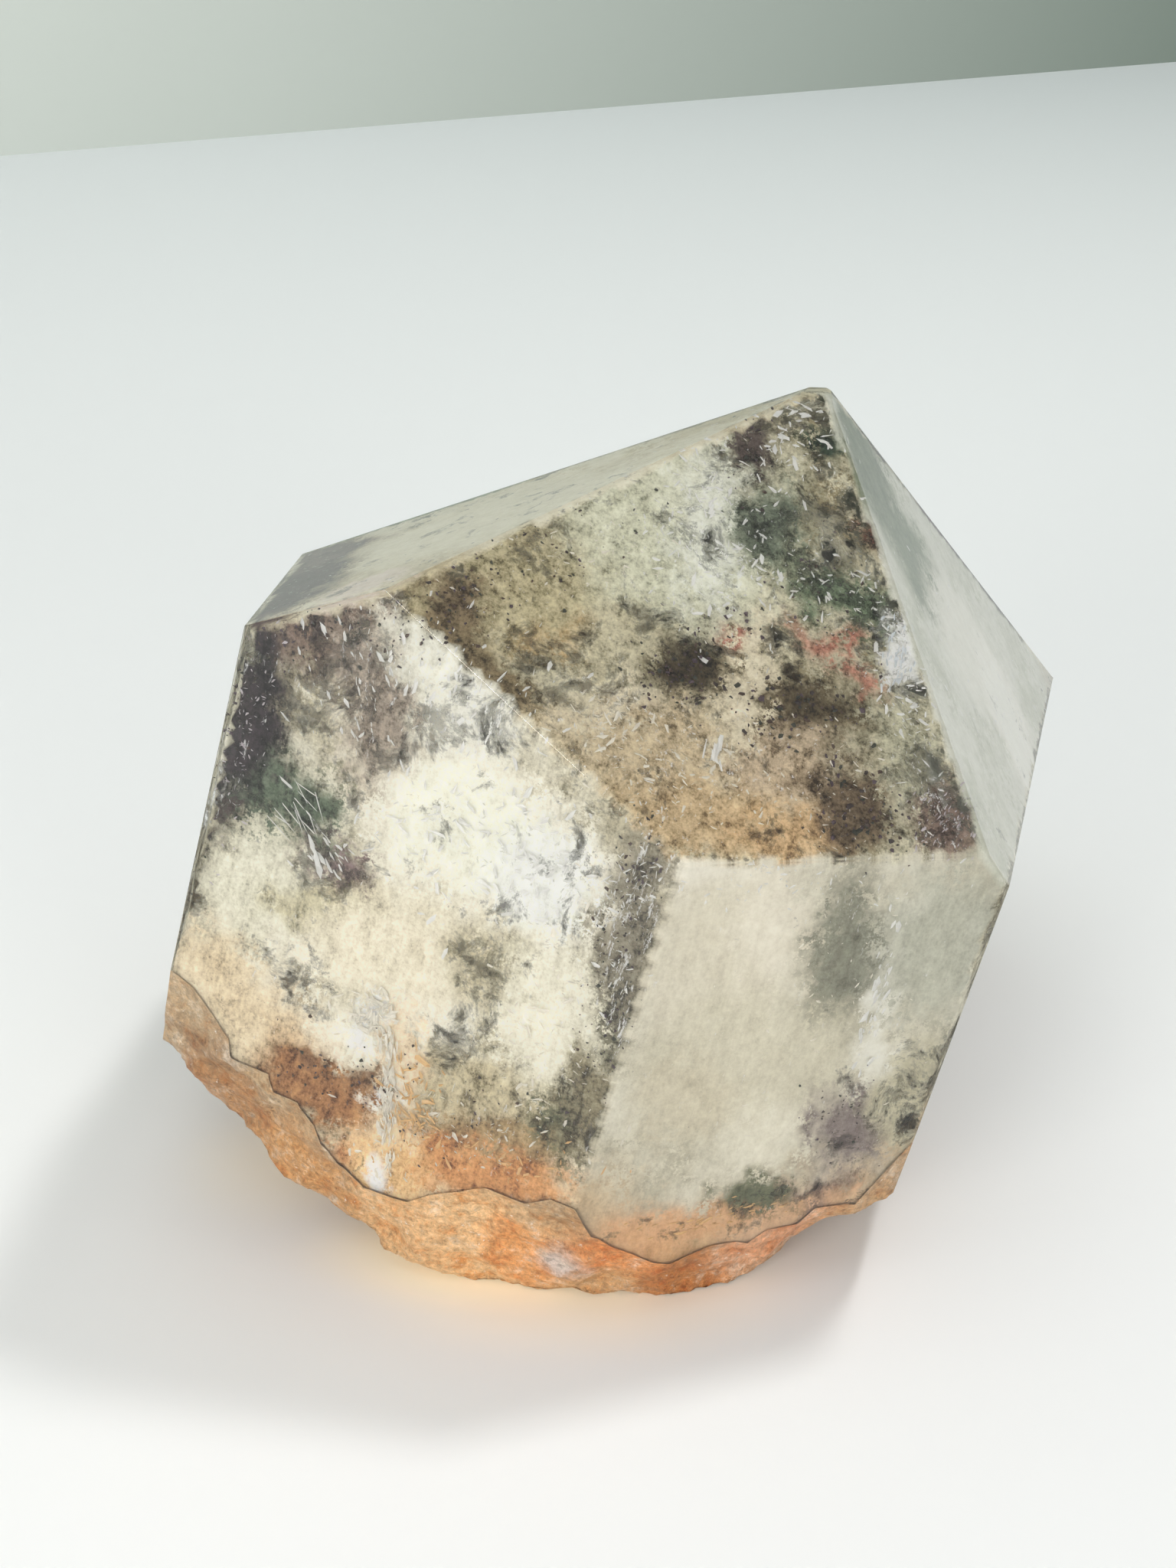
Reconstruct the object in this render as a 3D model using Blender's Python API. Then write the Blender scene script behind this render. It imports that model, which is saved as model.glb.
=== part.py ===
"""A polished quartz point, a single garden-quartz crystal that stands on its natural broken base.

The crystal is one solid: six prism faces and five point faces ground flat, a small blunted tip, and a rough iron-stained
base that leans the crystal to one side. Lengths are in metres, +Z is up, and the origin lies on the table under the
middle of the crystal.
"""

import math

import bmesh
import bpy
import numpy as np
from mathutils import Matrix, Vector, noise

MM = 0.001

# The long axis of the crystal leans away from upright, because the base broke off at an angle.
LEAN_DEG = 14.84
LEAN_TOWARDS_DEG = 9.0
TIP_HEIGHT = 47.05 * MM
TIP_BLUNTED_BY = 0.55 * MM
TIP_FLAT_TOWARDS_DEG = -35.0
TIP_FLAT_SLOPE_DEG = 24.0

# Prism faces: the way each one looks round the long axis, and how far it lies from that axis through the tip.
PRISM_FACES = {
    "left": (174.16, 26.76 * MM),
    "front_left": (-112.19, 24.52 * MM),
    "front_right": (-72.91, 22.60 * MM),
    "right": (-15.04, 18.89 * MM),
    "back_right": (48.0, 31.70 * MM),
    "back": (112.0, 24.00 * MM),
}

# Point faces: the way each one looks, and its slope away from square to the long axis. They all meet at the tip.
POINT_FACES = {
    "front": (-81.97, 39.71),
    "right": (-13.22, 46.55),
    "back_right": (48.0, 33.27),
    "back": (122.0, 49.85),
    "left": (167.8, 34.36),
}

# The polished corner flat at the foot of the right-hand edge looks this way and passes through this point.
CORNER_FLAT_BEARING = -58.7
CORNER_FLAT_ELEVATION = -14.2
CORNER_FLAT_POINT = Vector((4.50, -20.83, 8.79)) * MM

# The broken base. Each rough surface looks along a compass bearing and down by an elevation, through a point in mm.
BASE_CENTRE = Vector((-11.0, -2.0, 18.0))
ROUGH_FACES = {
    "underside": (0.0, -90.0, Vector((-12.0, 0.0, -0.45))),
    "front_left_band": (-104.6, -17.5, Vector((-20.2, -22.7, 2.4))),
    "front_right_band": (-73.8, -17.7, Vector((-7.6, -22.6, 0.0))),
    "left_skin": (-125.4, -7.9, Vector((-37.0, -16.0, 18.4))),
    "left_low": (186.0, -64.0, Vector((-29.2, -19.0, 2.5))),
    "left_high": (186.0, -42.0, Vector((-34.2, -16.1, 6.4))),
    "right_rise": (-12.0, -51.0, Vector((-0.5, -20.7, 1.8))),
    "back_rise": (100.0, -50.0, Vector((-8.0, 17.0, 2.6))),
    "back_left_rise": (150.0, -44.0, Vector((-24.0, 12.0, 3.6))),
}
FAR_OUT = 75.0
EDGE_SOFTNESS = 0.45

# Single features of the break, in mm: the middle, the width and how far the stone stands out there or is chipped away.
LUMPS = {
    "side_lump": (Vector((-37.4, -16.2, 14.2)), 2.2, 0.3),
    "side_notch": (Vector((-37.5, -16.0, 17.2)), 1.3, -1.2),
    "seam_bulge": (Vector((-22.6, -22.8, 3.4)), 3.0, 0.8),
    "seam_gap": (Vector((-25.9, -21.9, 2.6)), 1.5, -0.9),
    "foot_knob": (Vector((-14.5, -25.6, 3.4)), 1.3, 0.8),
    "foot_hollow": (Vector((-12.0, -24.2, 0.8)), 2.0, -0.5),
    "right_chip": (Vector((-1.2, -21.4, 1.4)), 1.8, -0.6),
}

# Relief of the broken surface in mm, from the wide hollows to the ledges, the chips and the fine parallel grooves.
HOLLOW_WIDTH = 12.0
HOLLOW_DEPTH = 0.9
LEDGE_WIDTH = 5.5
LEDGE_DEPTH = 0.9
CHIP_WIDTH = 2.4
CHIP_DEPTH = 0.8
STRIATION_MIDDLE = Vector((-37.4, -16.2, 13.4))
STRIATION_REACH = 4.0
STRIATION_SPACING = 1.15
STRIATION_DEPTH = 0.16
BASE_SUBDIVISIONS = 5
FINE_SIDE_DEG = 136.0
FINE_SIDE_SQUEEZED_TO_DEG = 86.0

QUARTZ_COLOUR = (0.62, 0.60, 0.53, 1.0)
QUARTZ_ROUGHNESS = 0.08


def clear_scene():
    for old in list(bpy.data.objects):
        bpy.data.objects.remove(old)


def lean_matrix():
    """Turns the upright crystal about a level axis, so that its tip leans towards the bearing."""
    bearing = math.radians(LEAN_TOWARDS_DEG)
    level_axis = Vector((-math.sin(bearing), math.cos(bearing), 0.0))
    return Matrix.Rotation(math.radians(LEAN_DEG), 3, level_axis)


def face_normal(bearing_deg, slope_deg):
    """The outward direction of a face that looks along a bearing, tipped by a slope away from +Z."""
    bearing = math.radians(bearing_deg)
    slope = math.radians(slope_deg)
    return Vector((math.cos(bearing) * math.sin(slope), math.sin(bearing) * math.sin(slope), math.cos(slope)))


def looking(bearing_deg, elevation_deg):
    """The direction along a compass bearing that points up by an elevation."""
    return face_normal(bearing_deg, 90.0 - elevation_deg)


def polished_planes():
    """Every ground face as a point on it and its outward direction, in the leaning crystal."""
    lean = lean_matrix()
    tip = Vector((0.0, 0.0, TIP_HEIGHT))
    planes = []
    for bearing, distance in PRISM_FACES.values():
        outward = face_normal(bearing, 90.0)
        planes.append((tip + lean @ (outward * distance), lean @ outward))
    for bearing, slope in POINT_FACES.values():
        planes.append((tip, lean @ face_normal(bearing, slope)))
    tip_flat = face_normal(TIP_FLAT_TOWARDS_DEG, TIP_FLAT_SLOPE_DEG)
    planes.append((tip - tip_flat * TIP_BLUNTED_BY, tip_flat))
    planes.append((CORNER_FLAT_POINT, looking(CORNER_FLAT_BEARING, CORNER_FLAT_ELEVATION)))
    planes.append((Vector((0.0, 0.0, 0.0)), Vector((0.0, 0.0, -1.0))))
    return planes


def grind(bm, point, outward):
    """Takes off all that lies beyond one flat face and closes the cut."""
    everything = bm.verts[:] + bm.edges[:] + bm.faces[:]
    cut = bmesh.ops.bisect_plane(
        bm, geom=everything, dist=1e-7, plane_co=point, plane_no=outward, clear_outer=True
    )
    rim = [item for item in cut["geom_cut"] if isinstance(item, bmesh.types.BMEdge)]
    if rim:
        bmesh.ops.contextual_create(bm, geom=rim)


def make_polished_crystal():
    """The crystal with all its flat faces, before its base is broken."""
    bm = bmesh.new()
    bmesh.ops.create_cube(bm, size=4 * TIP_HEIGHT)
    for point, outward in polished_planes():
        grind(bm, point, outward)
    bmesh.ops.recalc_face_normals(bm, faces=bm.faces)
    mesh = bpy.data.meshes.new("quartz_point")
    bm.to_mesh(mesh)
    bm.free()
    crystal = bpy.data.objects.new("quartz_point", mesh)
    bpy.context.scene.collection.objects.link(crystal)
    return crystal


def stepped(value, steps, sharpness):
    """A slope turned into ledges: flat treads with steep risers between them."""
    scaled = value * steps
    tread = math.floor(scaled)
    rise = scaled - tread
    return (tread + rise**sharpness / (rise**sharpness + (1.0 - rise) ** sharpness)) / steps


def broken_relief(point):
    """How far the broken surface stands out at a point in mm: shell-like hollows, ledges, chips and single lumps."""
    hollow = noise.noise(point / HOLLOW_WIDTH + Vector((3.1, 7.7, 1.3)))
    slope = 0.5 + 0.7 * noise.noise(point / LEDGE_WIDTH + Vector((11.0, 2.0, 5.0)))
    ledge = stepped(min(max(slope, 0.0), 1.0), 4, 4) - 0.5
    nearest, second = noise.voronoi(point / CHIP_WIDTH)[0][:2]
    chip = min(second - nearest, 0.5) - 0.25
    height = HOLLOW_DEPTH * hollow + LEDGE_DEPTH * ledge + CHIP_DEPTH * chip
    for middle, width, rise in LUMPS.values():
        height += rise * math.exp(-((point - middle).length / width) ** 2)
    nearness = math.exp(-((point - STRIATION_MIDDLE).length / STRIATION_REACH) ** 2)
    striation = math.cos(2.0 * math.pi * (point.y + 0.5 * point.z) / STRIATION_SPACING)
    return height + STRIATION_DEPTH * nearness * striation


def depth_inside(points):
    """How deep each point in mm lies inside all the rough faces, with the meeting lines a little rounded."""
    total = np.zeros(len(points))
    for bearing, elevation, point in ROUGH_FACES.values():
        outward = np.array(looking(bearing, elevation))
        depth = (np.array(point) - points) @ outward
        total += np.exp(np.clip(-depth / EDGE_SOFTNESS, -60.0, 60.0))
    return -EDGE_SOFTNESS * np.log(total)


def broken_reaches(directions):
    """How far the stone reaches from the middle of the base along each direction, before it meets the break."""
    centre = np.array(BASE_CENTRE)
    near = np.zeros(len(directions))
    far = np.full(len(directions), FAR_OUT)
    for _ in range(40):
        middle = (near + far) / 2
        inside = depth_inside(centre + directions * middle[:, None]) > 0
        near = np.where(inside, middle, near)
        far = np.where(inside, far, middle)
    return near


def crowded_down(direction):
    """Swings a direction towards straight down, so that most of the facets lie on the broken side."""
    angle = math.degrees(math.acos(max(-1.0, min(1.0, -direction.z))))
    level = Vector((direction.x, direction.y, 0.0))
    if level.length < 1e-6:
        return direction.copy()
    if angle < FINE_SIDE_DEG:
        swung = angle * FINE_SIDE_SQUEEZED_TO_DEG / FINE_SIDE_DEG
    else:
        stretch = (180.0 - FINE_SIDE_SQUEEZED_TO_DEG) / (180.0 - FINE_SIDE_DEG)
        swung = 180.0 - (180.0 - angle) * stretch
    level.normalize()
    return level * math.sin(math.radians(swung)) - Vector((0.0, 0.0, math.cos(math.radians(swung))))


def make_broken_envelope():
    """A closed body whose underside is the rough break. It reaches well past every polished face."""
    bm = bmesh.new()
    bmesh.ops.create_icosphere(bm, subdivisions=BASE_SUBDIVISIONS, radius=1.0)
    directions = [crowded_down(vertex.co.normalized()) for vertex in bm.verts]
    reaches = broken_reaches(np.array([tuple(direction) for direction in directions]))
    for vertex, direction, reach in zip(bm.verts, directions, reaches):
        surface = BASE_CENTRE + direction * float(reach)
        if reach < 0.9 * FAR_OUT:
            surface += direction * broken_relief(surface)
        vertex.co = surface * MM
    mesh = bpy.data.meshes.new("broken_envelope")
    bm.to_mesh(mesh)
    bm.free()
    envelope = bpy.data.objects.new("broken_envelope", mesh)
    envelope.hide_render = True
    envelope.display_type = "WIRE"
    bpy.context.scene.collection.objects.link(envelope)
    return envelope


def break_off_base(crystal, envelope):
    """Keeps only the stone inside both the ground faces and the rough break, as one plain mesh."""
    keep = crystal.modifiers.new("broken base", "BOOLEAN")
    keep.operation = "INTERSECT"
    keep.solver = "EXACT"
    keep.object = envelope
    bpy.context.view_layer.update()
    graph = bpy.context.evaluated_depsgraph_get()
    whole = bpy.data.meshes.new_from_object(crystal.evaluated_get(graph))
    crystal.modifiers.remove(keep)
    crystal.data = whole
    bpy.data.objects.remove(envelope)


def stand_over_origin(crystal):
    """Slides the stone level, so that the origin lies on the table under the middle of its box."""
    xs = [vertex.co.x for vertex in crystal.data.vertices]
    ys = [vertex.co.y for vertex in crystal.data.vertices]
    middle = Vector(((min(xs) + max(xs)) / 2, (min(ys) + max(ys)) / 2, 0.0))
    crystal.data.transform(Matrix.Translation(-middle))
    print("moved by", [round(value / MM, 3) for value in -middle])


def quartz_material():
    material = bpy.data.materials.new("smoky garden quartz")
    material.use_nodes = True
    shader = material.node_tree.nodes["Principled BSDF"]
    shader.inputs["Base Color"].default_value = QUARTZ_COLOUR
    shader.inputs["Roughness"].default_value = QUARTZ_ROUGHNESS
    shader.inputs["Metallic"].default_value = 0.0
    return material


def main():
    clear_scene()
    crystal = make_polished_crystal()
    break_off_base(crystal, make_broken_envelope())
    stand_over_origin(crystal)
    crystal.data.materials.clear()
    crystal.data.materials.append(quartz_material())


main()
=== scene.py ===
import math
import random

import bmesh
import bpy
import numpy as np
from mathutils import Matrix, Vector, noise
from mathutils.bvhtree import BVHTree
from mathutils.kdtree import KDTree


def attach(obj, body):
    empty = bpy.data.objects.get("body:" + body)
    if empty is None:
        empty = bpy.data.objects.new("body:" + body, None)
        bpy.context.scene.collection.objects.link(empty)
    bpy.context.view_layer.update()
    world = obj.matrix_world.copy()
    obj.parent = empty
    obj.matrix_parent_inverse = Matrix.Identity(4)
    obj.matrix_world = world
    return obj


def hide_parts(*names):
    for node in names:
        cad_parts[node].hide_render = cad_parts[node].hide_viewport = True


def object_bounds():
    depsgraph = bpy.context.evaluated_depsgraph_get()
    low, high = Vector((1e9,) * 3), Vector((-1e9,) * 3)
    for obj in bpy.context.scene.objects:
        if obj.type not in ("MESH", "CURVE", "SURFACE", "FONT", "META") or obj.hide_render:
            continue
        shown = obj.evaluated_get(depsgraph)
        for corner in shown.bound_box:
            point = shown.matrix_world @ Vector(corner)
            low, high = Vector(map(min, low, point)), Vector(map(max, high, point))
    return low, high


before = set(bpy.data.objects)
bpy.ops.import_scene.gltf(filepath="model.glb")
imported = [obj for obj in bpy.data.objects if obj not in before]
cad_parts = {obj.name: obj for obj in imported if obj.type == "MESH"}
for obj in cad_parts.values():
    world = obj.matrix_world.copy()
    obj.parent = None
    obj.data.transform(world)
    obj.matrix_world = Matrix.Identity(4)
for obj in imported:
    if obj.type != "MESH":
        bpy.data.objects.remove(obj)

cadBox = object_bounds()
mm = 0.001
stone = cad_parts["quartz_point"]
stoneTree = BVHTree.FromPolygons(
    [v.co.copy() for v in stone.data.vertices],
    [tuple(p.vertices) for p in stone.data.polygons],
)
tip = max((v.co for v in stone.data.vertices), key=lambda co: co.z).copy()
heart = Vector(((cadBox[0].x + cadBox[1].x) / 2, (cadBox[0].y + cadBox[1].y) / 2, 0.42 * cadBox[1].z))
print("stone loaded, tip at", [round(x / mm, 2) for x in tip])

# camera, in mm from the tip of the stone
studioCamera = {"fromTip": (-12.677, -130.868, 41.224), "lookDown": 27.0, "focalPixels": 3094.5, "photo": (1536, 2048)}
cameraSpot = tip + Vector(studioCamera["fromTip"]) * mm
pitch = math.radians(studioCamera["lookDown"])
lookForward = Vector((0, math.cos(pitch), -math.sin(pitch)))
lookUp = Vector((0, math.sin(pitch), math.cos(pitch)))
lookRight = Vector((1, 0, 0))


def makeCamera():
    data = bpy.data.cameras.new("studioCamera")
    data.sensor_width = 36.0
    data.lens = studioCamera["focalPixels"] / studioCamera["photo"][1] * 36.0
    data.clip_start = 0.005
    data.clip_end = 20.0
    cam = bpy.data.objects.new("studioCamera", data)
    cam.location = cameraSpot
    cam.rotation_euler = (math.radians(90) - pitch, 0, 0)
    bpy.context.scene.collection.objects.link(cam)
    bpy.context.scene.camera = cam


def sightLine(px, py):
    wide, high = studioCamera["photo"]
    focal = studioCamera["focalPixels"]
    return (lookForward + lookRight * ((px - wide / 2) / focal) + lookUp * ((high / 2 - py) / focal)).normalized()


# where a thing seen at a spot of the picture lies inside the stone, a depth in mm below the face it is seen through
def insideStone(px, py, depth):
    ray = sightLine(px, py)
    spot, normal, _, _ = stoneTree.ray_cast(cameraSpot, ray)
    if spot is None:
        raise RuntimeError("no stone at %s, %s" % (px, py))
    if normal.dot(ray) > 0:
        normal.negate()
    bend = 1 / 1.544
    cosIn = -ray.dot(normal)
    inner = ray * bend + normal * (bend * cosIn - math.sqrt(1 - bend * bend * (1 - cosIn * cosIn)))
    inner.normalize()
    return spot + inner * (depth * mm / max(-inner.dot(normal), 0.3)), inner, normal


def linear(r, g, b):
    def one(v):
        v /= 255
        return v / 12.92 if v <= 0.04045 else ((v + 0.055) / 1.055) ** 2.4
    return np.array([one(r), one(g), one(b)])


# small helpers for the node trees
def freshMaterial(name):
    mat = bpy.data.materials.new(name)
    mat.use_nodes = True
    tree = mat.node_tree
    tree.nodes.clear()
    out = tree.nodes.new("ShaderNodeOutputMaterial")
    shader = tree.nodes.new("ShaderNodeBsdfPrincipled")
    tree.links.new(shader.outputs[0], out.inputs["Surface"])
    return mat, tree, shader, out


def put(tree, kind, settings=None, **plugs):
    node = tree.nodes.new(kind)
    for key, value in (settings or {}).items():
        setattr(node, key, value)
    for key, value in plugs.items():
        socket = node.inputs[int(key[1:])] if key[0] == "i" and key[1:].isdigit() else node.inputs[key.replace("_", " ")]
        if isinstance(value, bpy.types.NodeSocket):
            tree.links.new(value, socket)
        else:
            socket.default_value = value
    return node


def math2(tree, op, a, b=0.0, clamp=False):
    return put(tree, "ShaderNodeMath", {"operation": op, "use_clamp": clamp}, i0=a, i1=b).outputs[0]


def ramp(tree, value, stops):
    node = put(tree, "ShaderNodeValToRGB", None, i0=value)
    line = node.color_ramp
    line.elements[0].position, line.elements[0].color = stops[0]
    line.elements[1].position, line.elements[1].color = stops[-1]
    for place, colour in stops[1:-1]:
        line.elements.new(place).color = colour
    return node.outputs["Color"]


def mixColour(tree, how, factor, a, b):
    node = tree.nodes.new("ShaderNodeMix")
    node.data_type = "RGBA"
    node.blend_type = how
    for socket, value in ((node.inputs[0], factor), (node.inputs[6], a), (node.inputs[7], b)):
        if isinstance(value, bpy.types.NodeSocket):
            tree.links.new(value, socket)
        else:
            socket.default_value = value
    return node.outputs[2]


def spread(tree, where, scale, detail=4.0, rough=0.55, warp=0.0):
    return put(tree, "ShaderNodeTexNoise", None, Vector=where, Scale=scale, Detail=detail, Roughness=rough, Distortion=warp).outputs["Fac"]


def grey(tree, value):
    return put(tree, "ShaderNodeCombineColor", None, Red=value, Green=value, Blue=value).outputs[0]


# ragged small blotches: more of them where the share is higher
def blotches(tree, where, scale, share, rarest, swing):
    field = spread(tree, where, scale, 4.0, 0.82)
    edge = math2(tree, "SUBTRACT", rarest, math2(tree, "MULTIPLY", share, swing))
    return math2(tree, "MULTIPLY", math2(tree, "SUBTRACT", field, edge), 16.0, clamp=True)


def smoothStep(x, low, high):
    t = np.clip((x - low) / (high - low), 0, 1)
    return t * t * (3 - 2 * t)


# the ground faces of the stone, read from its own mesh
def findGroundFaces():
    groups = {}
    for p in stone.data.polygons:
        if p.normal.z < -0.99 or p.area < 0.05 * mm * mm:
            continue
        offset = p.normal.dot(p.center)
        key = tuple(round(x, 2) for x in p.normal) + (round(offset / mm, 0),)
        groups.setdefault(key, []).append((p.area, p.normal.copy(), offset))
    faces = []
    for members in groups.values():
        if sum(m[0] for m in members) > 12 * mm * mm and max(m[0] for m in members) > 5 * mm * mm:
            big = max(members, key=lambda m: m[0])
            if all(big[1].dot(f[0]) < 0.9999 or abs(big[2] - f[1]) > 0.05 * mm for f in faces):
                faces.append((big[1], big[2]))
    return faces


groundFaces = findGroundFaces()
groundNormals = np.array([tuple(f[0]) for f in groundFaces])
groundOffsets = np.array([f[1] for f in groundFaces])
print("ground faces:", len(groundFaces))


def depthUnderGround(points):
    return (groundOffsets[None, :] - points @ groundNormals.T).min(axis=1)


def faceOf(normal):
    near = groundNormals @ np.array(tuple(normal))
    return int(near.argmax()) if near.max() > 0.9995 else -1


def plantSkinTree():
    broken = {i for p in stone.data.polygons if p.area > 0 and faceOf(p.normal) < 0 and p.center.z < 0.8 * tip.z for i in p.vertices}
    tree = KDTree(len(broken))
    for i in broken:
        tree.insert(stone.data.vertices[i].co, i)
    tree.balance()
    return tree


skinTree = plantSkinTree()


# the skin: clear ground faces over a rough stained base
skinLook = {
    "bevel": 0.17, "baseCuts": 3, "grain": 0.22, "grit": 0.12, "ior": 1.544,
    "haze": (0.93, 0.92, 0.86), "hazeDensity": 6.0, "polish": 0.012, "breakRoughness": 0.32,
}


def clearQuartz():
    mat, tree, shader, out = freshMaterial("clearQuartz")
    shader.inputs["Base Color"].default_value = (1, 1, 1, 1)
    shader.inputs["Roughness"].default_value = skinLook["polish"]
    shader.inputs["IOR"].default_value = skinLook["ior"]
    shader.inputs["Transmission Weight"].default_value = 1.0
    body = tree.nodes.new("ShaderNodeVolumeAbsorption")
    body.inputs["Color"].default_value = skinLook["haze"] + (1,)
    body.inputs["Density"].default_value = skinLook["hazeDensity"]
    tree.links.new(body.outputs[0], out.inputs["Volume"])
    return mat


# the broken skin: iron stain over pale grains, with small painted glints as highlights, tinted by the "stain" colours
# of the mesh
def stainedBreak():
    mat, tree, shader, out = freshMaterial("stainedBreak")
    where = put(tree, "ShaderNodeTexCoord").outputs["Object"]
    stain = put(tree, "ShaderNodeVertexColor", {"layer_name": "stain"}).outputs["Color"]
    broad = spread(tree, where, 520.0, 7.0, 0.8, 0.15)
    fine = spread(tree, where, 2300.0, 5.0, 0.82)
    rust = math2(tree, "MULTIPLY", math2(tree, "SUBTRACT", broad, 0.5), 7.0, clamp=True)
    colour = mixColour(tree, "MULTIPLY", rust, stain, (0.80, 0.54, 0.32, 1))
    pale = math2(tree, "MULTIPLY", math2(tree, "SUBTRACT", 0.46, broad), 7.0, clamp=True)
    colour = mixColour(tree, "MIX", math2(tree, "MULTIPLY", pale, 0.55), colour, (0.90, 0.80, 0.66, 1))
    gain = math2(tree, "ADD", math2(tree, "MULTIPLY", fine, 2.5), -0.3)
    colour = mixColour(tree, "MULTIPLY", 1.0, colour, grey(tree, gain))
    patches = math2(tree, "MULTIPLY", math2(tree, "SUBTRACT", spread(tree, where, 170.0, 2.0), 0.44), 4.0, clamp=True)
    pits = blotches(tree, where, 1500.0, patches, 0.72, 0.12)
    colour = mixColour(tree, "MIX", math2(tree, "MULTIPLY", pits, 0.7), colour, (0.16, 0.075, 0.03, 1))
    # painted glints: small near-white specks painted into the skin's colour as highlights
    shifted = put(tree, "ShaderNodeMapping", None, Vector=where, Location=(0.21, 0.37, 0.13)).outputs[0]
    paintedGlints = blotches(tree, shifted, 1700.0, 0.5, 0.72, 0.16)
    colour = mixColour(tree, "MIX", math2(tree, "MULTIPLY", paintedGlints, 0.7), colour, (1.0, 0.95, 0.86, 1))
    tree.links.new(colour, shader.inputs["Base Color"])
    shader.inputs["Roughness"].default_value = skinLook["breakRoughness"]
    height = math2(tree, "SUBTRACT", fine, math2(tree, "MULTIPLY", pits, 0.6))
    bump = put(tree, "ShaderNodeBump", None, Strength=0.9, Distance=0.00032, Height=height)
    tree.links.new(bump.outputs[0], shader.inputs["Normal"])
    return mat


def onGround(normal, offset):
    for faceNormal, faceOffset in groundFaces:
        if normal.dot(faceNormal) > 0.99995 and abs(offset - faceOffset) < 0.02 * mm:
            return True
    return False


# iron stain on the broken skin: a tint for each height in mm, then patches by spot in the picture and reach in mm
stainHeights = [(0.0, (206, 160, 112)), (3.0, (204, 160, 112)), (7.0, (184, 150, 112)), (14.0, (186, 162, 128)), (30.0, (190, 176, 150))]
stainPatches = [
    ("apricotFront", (600, 1615), 5.5, (232, 190, 140)),
    ("apricotLeft", (520, 1590), 4.0, (226, 182, 132)),
    ("orangeFront", (680, 1640), 3.0, (226, 160, 100)),
    ("greyKnob", (740, 1655), 1.8, (206, 188, 178)),
    ("orangeMid", (820, 1640), 3.4, (222, 150, 92)),
    ("rustMid", (905, 1668), 3.6, (186, 122, 68)),
    ("salmonRight", (1010, 1620), 4.0, (222, 164, 124)),
    ("rustRight", (1080, 1612), 3.0, (186, 118, 70)),
    ("paleRight", (1150, 1580), 2.6, (214, 190, 160)),
    ("tanSkinLow", (300, 1440), 4.2, (178, 132, 88)),
    ("brownSkinTop", (265, 1345), 3.4, (162, 126, 90)),
    ("sandSkinTop", (255, 1290), 4.0, (186, 160, 126)),
    ("orangeSkinFoot", (390, 1530), 4.0, (204, 152, 98)),
    ("creamRim", (236, 1400), 2.4, (222, 192, 152)),
]


def stainAt(points):
    heights = np.array([h for h, _ in stainHeights])
    tints = np.array([linear(*t) for _, t in stainHeights])
    tint = np.column_stack([np.interp(points[:, 2], heights, tints[:, i]) for i in range(3)])
    behind = smoothStep(points[:, 0] + 0.6 * points[:, 1], 4.0, 14.0) * 0.8
    tint = tint + (linear(178, 172, 158) - tint) * behind[:, None]
    warp = np.array([tuple(noise.noise_vector(Vector(p) / 2.2) * 0.9) for p in points])
    for _, spot, reach, colour in stainPatches:
        hit = stoneTree.ray_cast(cameraSpot, sightLine(*spot))[0]
        if hit is None:
            continue
        away = np.linalg.norm(points + warp - np.array(tuple(hit)) / mm, axis=1) / reach
        amount = 1 - smoothStep(away, 0.5, 1.3)
        tint = tint + (linear(*colour) - tint) * amount[:, None]
    return tint


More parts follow.
